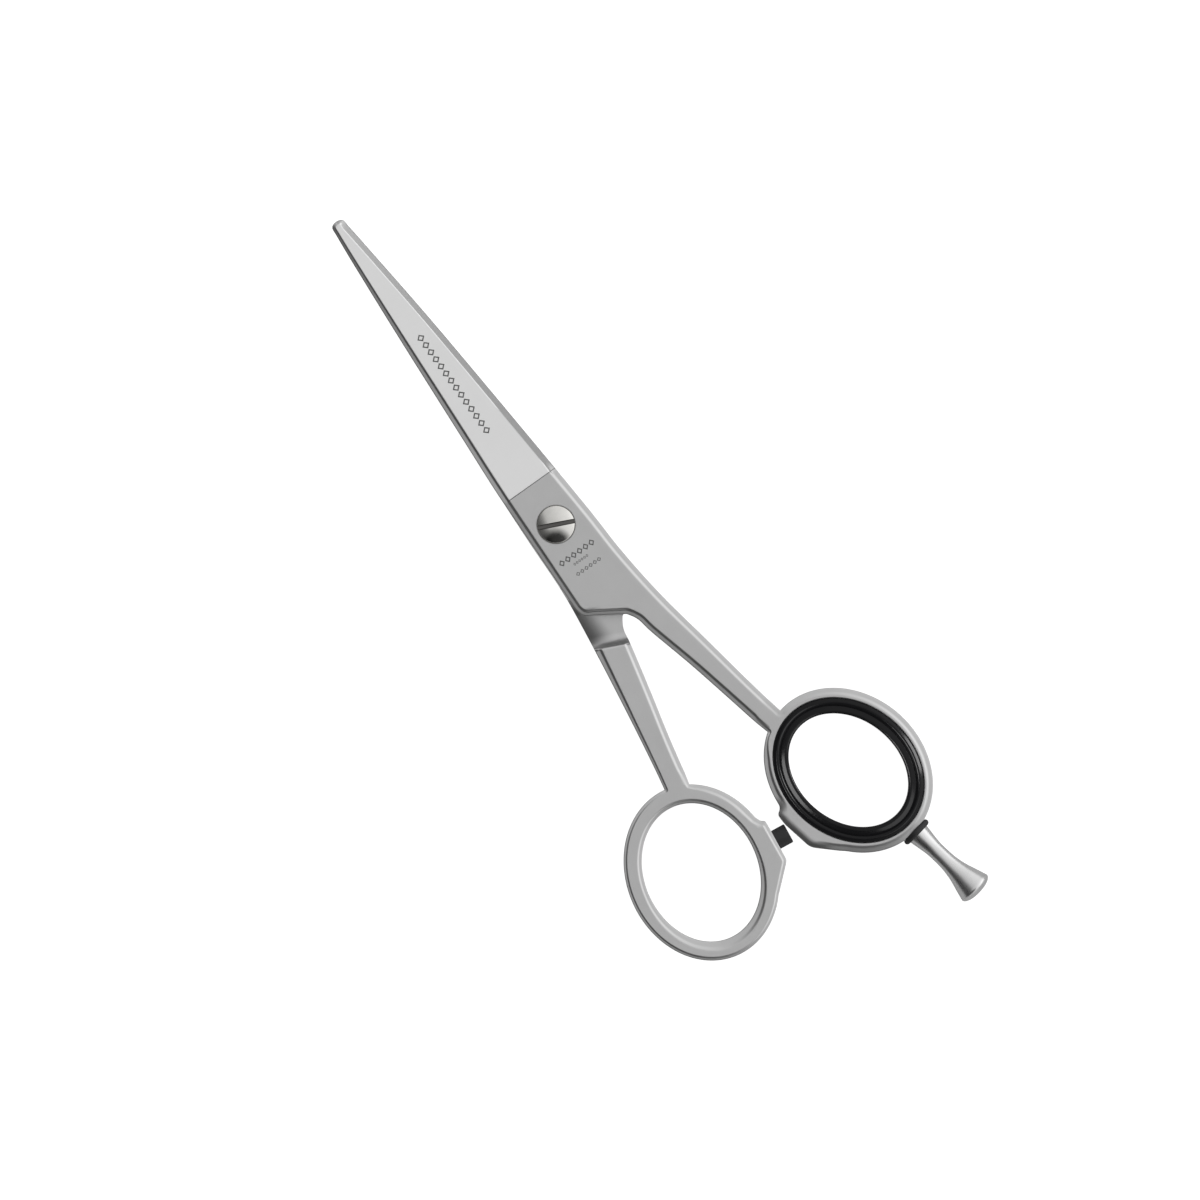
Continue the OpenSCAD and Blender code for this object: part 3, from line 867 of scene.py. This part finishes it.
class SHEARS_OT_screw(bpy.types.Operator):
    """Builds the domed pivot screw with its slot, and finishes the bush"""

    bl_idname = "shears.screw"
    bl_label = "Pivot screw and bush"

    def execute(self, context):
        top, rim, base = 5.92, 5.17, 4.62
        head_r, rise = 3.15, 0.75
        radius = (head_r ** 2 + rise ** 2) / (2 * rise)
        r = 3.02 * np.sin(np.linspace(0, np.pi / 2, 24))
        dome = np.stack([r, top - radius + np.sqrt(radius ** 2 - r ** 2)], 1)
        edge = [(3.1, rim - 0.02), (head_r, rim - 0.12), (head_r, base + 0.06), (3.1, base)]
        stem = [(2.0, base), (2.0, 2.5), (1.5, 2.5), (1.5, 0.3), (1.3, 0.1), (0, 0.1)]
        profile = np.vstack([dome, edge, stem])
        verts, faces = join_grids([(lathe(profile, (0, 0, 0), (0, 0, 1), 128), True)])
        obj = finish_mesh("pivot_screw_head", verts, faces, 35)
        w, depth, reach = 0.375, 0.95, 4.0
        across = np.array([(w + 0.03, 1.0), (w + 0.03, 0.05), (w, -depth + 0.12), (w - 0.12, -depth)])
        loop = np.vstack([across, (across * (-1, 1))[::-1]])
        ends = np.linspace(-reach, reach, 2)
        bar = np.stack([np.column_stack([np.full(len(loop), e), loop]) for e in ends])
        c, s = math.cos(SLOT_ANGLE), math.sin(SLOT_ANGLE)
        turned = np.stack([bar[..., 0] * c - bar[..., 1] * s, bar[..., 0] * s + bar[..., 1] * c,
                           bar[..., 2] + top], -1)
        m = len(loop)
        faces = [(i, (i + 1) % m, m + (i + 1) % m, m + i) for i in range(m)]
        cutter = finish_mesh("cutter", turned.reshape(-1, 3), faces, caps=[range(m), range(m, 2 * m)])
        cut(obj, [cutter], 35)
        obj.data.materials.append(material("bright_nickel", nickel_finish))
        obj.data.materials.append(material("slot_shade", ground_steel, "slot_shade",
                                           (0.16, 0.155, 0.15), 0.4, SLOT_ANGLE))
        count = len(obj.data.polygons)
        centre = np.empty(count * 3, np.float32)
        obj.data.polygons.foreach_get("center", centre)
        x, y, z = (centre.reshape(-1, 3) / MM).T
        across = np.abs(-x * s + y * c)
        under = top - radius + np.sqrt(radius ** 2 - x ** 2 - y ** 2) - z
        in_slot = (across < w + 0.02) & (under > 0.03) & (z > base)
        obj.data.polygons.foreach_set("material_index", in_slot.astype(np.int32))
        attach(obj, "tension_screw")
        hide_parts("pivot_screw")
        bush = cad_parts["pivot_bush"]
        nylon = material("bush_nylon", nylon_finish)
        if not bush.material_slots:
            bush.data.materials.append(nylon)
        for slot in bush.material_slots:
            slot.material = nylon
        return {"FINISHED"}


class SHEARS_OT_insert(bpy.types.Operator):
    """Builds the soft ring in the finger hole, with two rolls on each face"""

    bl_idname = "shears.insert"
    bl_label = "Finger insert"

    def execute(self, context):
        # (outwards from the hole, height): the section is swept round the hole, each of its points
        # on the oval that lies that far outside the hole's
        rolls = [[0, 4.52], [0.03, 4.66], [0.12, 4.80], [0.25, 4.89], [0.42, 4.93], [0.58, 4.93],
                 [0.74, 4.89], [1.26, 4.70], [1.35, 4.60], [1.44, 4.67], [1.55, 4.80], [1.70, 4.93],
                 [1.88, 4.985], [2.02, 4.98], [2.14, 4.92], [2.56, 4.60], [2.66, 4.48]]
        upper = np.vstack([smooth_curve(rolls, 3), [[2.66, 4.03], [1.12, 4.03]]])
        lower = upper[::-1] * (1, -1) + (0, FULL_T)
        section = np.vstack([upper, lower])
        angles = np.linspace(0, 2 * np.pi, INSERT_SEGMENTS, endpoint=False)
        rows = [np.column_stack([oval((HOLE_AT, (8.4 + off, 10.9 + off), HOLE_LEAN), angles),
                                 np.full(INSERT_SEGMENTS, z)]) for off, z in section]
        grid = np.stack(rows + rows[:1], 1)
        verts, faces = join_grids([(grid, True)])
        obj = finish_mesh("finger_ring_insert", verts, faces, 50)
        obj.data.materials.append(material("glossy_rubber", rubber_finish))
        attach(obj, "finger_side")
        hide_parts("finger_insert")
        return {"FINISHED"}


class SHEARS_OT_rest(bpy.types.Operator):
    """Builds the turned finger rest and its washer"""

    bl_idname = "shears.rest"
    bl_label = "Finger rest and washer"

    def execute(self, context):
        stem = [[0, -2.4], [1.1, -2.4], [1.25, -2.2], [1.25, 1.0], [1.25, 1.05]]
        side = smooth_curve([[1.95, 1.05], [1.5, 4.15], [1.44, 6.05], [1.52, 8.05], [1.86, 10.05],
                             [2.45, 12.05], [2.92, 13.65]], 6)
        a = np.radians(np.linspace(0, 90, 12))
        dome = np.stack([3.0 * np.cos(a) ** 0.9, 13.95 + 1.15 * np.sin(a)], 1)
        profile = np.vstack([stem, side, dome[:-1], [[0, 15.1]]])
        verts, faces = join_grids([(lathe(profile, REST_AT, REST_DIR, 96), True)])
        obj = finish_mesh("finger_rest_post", verts, faces, 40)
        obj.data.materials.append(material("lathe_turned_steel", turned_finish))
        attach(obj, "finger_rest")
        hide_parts("finger_rest")
        a = np.linspace(-np.pi / 2, np.pi / 2, 17)
        rim = np.stack([2.175 + 0.525 * np.cos(a), 0.525 + 0.525 * np.sin(a)], 1)
        loop = np.vstack([[[1.28, 0.0]], rim, [[1.28, 1.05], [1.28, 0.0]]])
        verts, faces = join_grids([(lathe(loop, REST_AT, REST_DIR, 72), True)])
        ring = finish_mesh("rest_rubber_washer", verts, faces, 40)
        ring.data.materials.append(material("matte_rubber", matte_rubber_finish))
        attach(ring, "rest_washer")
        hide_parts("rest_washer")
        return {"FINISHED"}


class SHEARS_OT_bumper(bpy.types.Operator):
    """Builds the rubber bumper between the rings"""

    bl_idname = "shears.bumper"
    bl_label = "Bumper"

    def execute(self, context):
        a = np.radians(np.linspace(0, 90, 7))
        edge = np.stack([1.5 + 0.2 * np.cos(a), 2.24 + 0.2 * np.sin(a)], 1)
        stem = [[0, -2.0], [0.72, -2.0], [0.8, -1.9], [0.8, 0.0], [1.62, 0.0], [1.7, 0.08]]
        profile = np.vstack([stem, edge, [[0.5, 2.44], [0, 2.44]]])
        along = [math.cos(BUMPER_ANGLE), math.sin(BUMPER_ANGLE), 0]
        verts, faces = join_grids([(lathe(profile, BUMPER_AT, along, 64), True)])
        obj = finish_mesh("rubber_bumper", verts, faces, 40)
        obj.data.materials.append(material("matte_rubber", matte_rubber_finish))
        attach(obj, "thumb_side")
        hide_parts("bumper")
        return {"FINISHED"}


# The floor's glow in reflections, as a share of what the camera sees of it
FLOOR_BOUNCE = 0.15
# The floor's half width and how far it lies below the object, and the camera's place and turn,
# in metres and degrees
FLOOR_HALF, FLOOR_GAP = 3.0, 0.00005
VIEW_AT, VIEW_LEVEL, VIEW_DISTANCE, VIEW_TURN = (-0.00134, -0.0145), 0.004, 3.0, -35.5
# The room's brightness against the share of the way across it, from its dark side to its bright one
ROOM_LEVELS = [(0.0, 0.04), (0.07, 0.05), (0.2, 0.14), (0.27, 0.31), (0.33, 0.55), (0.38, 0.61),
               (0.5, 0.68), (0.6, 0.76), (0.8, 0.9), (0.95, 1.25), (1.0, 1.4)]
# Directions to the room's bright side and to the middle of its one dark patch
BRIGHT_SIDE, DARK_PATCH = (0.96, -0.28, 0), (-0.42, -0.60, 0.68)
# Name, direction to the light, its width in degrees, and its strength
INSERT_LIGHTS = [("insert_left", (-0.64, 0.12, 0.76), 30, 2.9), ("insert_right", (0.93, -0.2, 0.3), 26, 2.4),
                 ("insert_front", (0.15, -0.6, 0.79), 40, 1.2)]


class SHEARS_OT_stage(bpy.types.Operator):
    """Sets up the pale floor, the soft studio light and the camera"""

    bl_idname = "shears.stage"
    bl_label = "Floor, light and camera"

    def execute(self, context):
        s = context.scene.shears_stage
        mesh = bpy.data.meshes.new("floor")
        r, z = FLOOR_HALF, cad_box[0][2] - FLOOR_GAP
        mesh.from_pydata([(-r, -r, z), (r, -r, z), (r, r, z), (-r, r, z)], [], [(0, 1, 2, 3)])
        floor = bpy.data.objects.new("floor", mesh)
        context.scene.collection.objects.link(floor)
        n = Nodes("pale_floor")
        n.shade(colour=rgb(s.floor, 0.5), roughness=0.9)
        n.bsdf.inputs["Emission Color"].default_value = rgb(s.floor)
        seen = n.tree.nodes.new("ShaderNodeLightPath").outputs["Is Camera Ray"]
        n.link(n.ramp(seen, 0.0, 1.0, s.glow * FLOOR_BOUNCE, s.glow), n.bsdf.inputs["Emission Strength"])
        mesh.materials.append(n.mat)
        self.light_room(context, s)
        self.light_insert(context)
        data = bpy.data.cameras.new("camera")
        data.sensor_width = 36
        data.lens = data.sensor_width * VIEW_DISTANCE / s.view_width
        data.clip_start, data.clip_end = 0.01, 20
        camera = bpy.data.objects.new("camera", data)
        camera.location = VIEW_AT + (VIEW_DISTANCE + VIEW_LEVEL,)
        camera.rotation_euler = (0, 0, math.radians(VIEW_TURN))
        context.scene.collection.objects.link(camera)
        context.scene.camera = camera
        context.scene.view_settings.view_transform = "Standard"
        return {"FINISHED"}

    def light_insert(self, context):
        """Broad lights that only reach the finger insert, so that its rolls shine."""
        reached = bpy.data.collections.new("insert_only")
        reached.objects.link(bpy.data.objects["finger_ring_insert"])
        for name, towards, width, strength in INSERT_LIGHTS:
            data = bpy.data.lights.new(name, "SUN")
            data.energy, data.angle = strength, math.radians(width)
            light = bpy.data.objects.new(name, data)
            light.rotation_euler = Vector(towards).to_track_quat("Z", "Y").to_euler()
            light.light_linking.receiver_collection = reached
            context.scene.collection.objects.link(light)

    def light_room(self, context, s):
        """Soft light all round: brighter towards +X, darker towards -X, with one dark patch."""
        world = bpy.data.worlds.new("room")
        context.scene.world = world
        world.use_nodes = True
        tree = world.node_tree
        tree.nodes.clear()
        out = tree.nodes.new("ShaderNodeOutputWorld")
        back = tree.nodes.new("ShaderNodeBackground")
        back.inputs["Strength"].default_value = s.light
        where = tree.nodes.new("ShaderNodeTexCoord")

        def along(vector):
            """Cosine of the angle between the light's direction and a vector."""
            dot = tree.nodes.new("ShaderNodeVectorMath")
            dot.operation = "DOT_PRODUCT"
            tree.links.new(where.outputs["Generated"], dot.inputs[0])
            dot.inputs[1].default_value = vector
            return dot.outputs["Value"]

        ramp = tree.nodes.new("ShaderNodeValToRGB")
        half = tree.nodes.new("ShaderNodeMath")
        half.operation = "MULTIPLY_ADD"
        half.inputs[1].default_value = 0.5
        half.inputs[2].default_value = 0.5
        tree.links.new(along(Vector(BRIGHT_SIDE)), half.inputs[0])
        tree.links.new(half.outputs[0], ramp.inputs[0])
        elements = ramp.color_ramp.elements
        while len(elements) < len(ROOM_LEVELS):
            elements.new(0.5)
        for element, (position, level) in zip(elements, ROOM_LEVELS):
            element.position = position
            element.color = (level, level, level, 1)
        shade = tree.nodes.new("ShaderNodeMapRange")
        tree.links.new(along(Vector(DARK_PATCH).normalized()), shade.inputs[0])
        for i, v in enumerate((0.76, 0.93, 1.0, 0.06), 1):
            shade.inputs[i].default_value = v
        dim = tree.nodes.new("ShaderNodeVectorMath")
        dim.operation = "SCALE"
        tree.links.new(ramp.outputs[0], dim.inputs[0])
        tree.links.new(shade.outputs[0], dim.inputs["Scale"])
        # The camera sees a plain white wall behind the floor. All other rays see the room's levels.
        wall = tree.nodes.new("ShaderNodeMix")
        wall.data_type = "RGBA"
        tree.links.new(tree.nodes.new("ShaderNodeLightPath").outputs["Is Camera Ray"], wall.inputs[0])
        tree.links.new(dim.outputs[0], wall.inputs[6])
        wall.inputs[7].default_value = (1.0, 1.0, 1.0, 1.0)
        tree.links.new(wall.outputs[2], back.inputs[0])
        tree.links.new(back.outputs[0], out.inputs[0])


class SHEARS_PT_panel(bpy.types.Panel):
    """Lists the makers of the shears"""

    bl_label = "Hair cutting shears"
    bl_idname = "SHEARS_PT_panel"
    bl_space_type = "VIEW_3D"
    bl_region_type = "UI"
    bl_category = "Shears"

    def draw(self, context):
        for group in (context.scene.shears_blades, context.scene.shears_finish, context.scene.shears_stage):
            box = self.layout.box()
            for key in group.__annotations__:
                box.prop(group, key)
        for operator in OPERATORS:
            self.layout.operator(operator.bl_idname)


GROUPS = {"shears_blades": BladeSettings, "shears_finish": FinishSettings, "shears_stage": StageSettings}
OPERATORS = (SHEARS_OT_halves, SHEARS_OT_screw, SHEARS_OT_insert, SHEARS_OT_rest, SHEARS_OT_bumper,
             SHEARS_OT_stage)


def register():
    for cls in tuple(GROUPS.values()) + OPERATORS + (SHEARS_PT_panel,):
        bpy.utils.register_class(cls)
    for name, group in GROUPS.items():
        setattr(bpy.types.Scene, name, PointerProperty(type=group))


def unregister():
    for name in GROUPS:
        delattr(bpy.types.Scene, name)
    for cls in (SHEARS_PT_panel,) + OPERATORS[::-1] + tuple(GROUPS.values())[::-1]:
        bpy.utils.unregister_class(cls)


def main():
    register()
    for step in (bpy.ops.shears.halves, bpy.ops.shears.screw, bpy.ops.shears.insert, bpy.ops.shears.rest,
                 bpy.ops.shears.bumper, bpy.ops.shears.stage):
        step()


if __name__ == "__main__":
    main()
